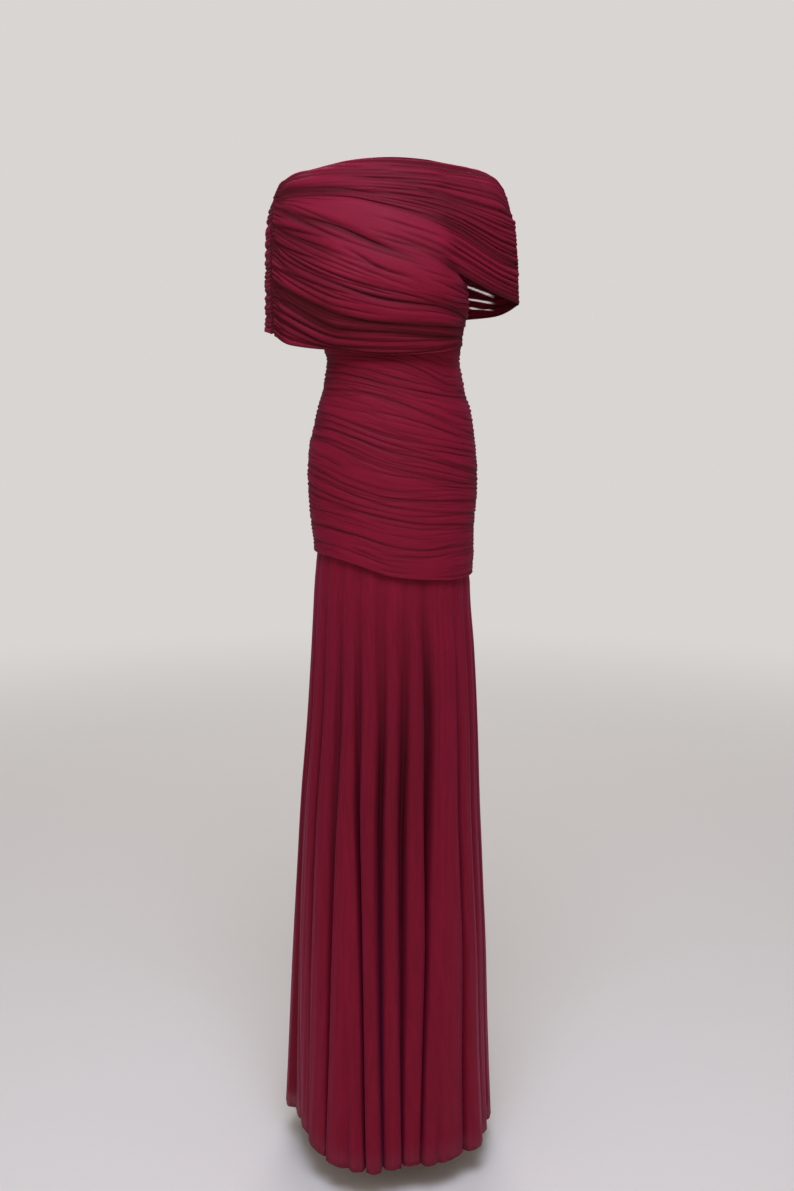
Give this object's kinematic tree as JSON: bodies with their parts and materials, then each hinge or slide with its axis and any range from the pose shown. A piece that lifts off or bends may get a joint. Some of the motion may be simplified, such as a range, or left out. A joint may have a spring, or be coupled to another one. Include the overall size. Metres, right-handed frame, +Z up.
{
  "type": "mermaid evening gown",
  "caption": "Floor-length gown of wine-red stretch mesh: draped cape shoulders, ruched diagonal bodice over the hips and a long fluted skirt, hollow as worn.",
  "frame": {"origin": "middle of the neck opening, level with the shoulders, where the wearer's shoulders carry the gown", "axes": "+Z up along the wearer's body, -Y the way the wearer faces, +X towards the wearer's left"},
  "size_m": [0.4069, 0.355, 1.5578],
  "materials": {
    "stretch_mesh": "soft matte stretch mesh"
  },
  "bodies": {
    "root": {"drape_front": "stretch_mesh", "drape_back": "stretch_mesh", "bodice_front": "stretch_mesh", "bodice_back": "stretch_mesh", "skirt_front": "stretch_mesh", "skirt_back": "stretch_mesh"}
  },
  "joints": []
}
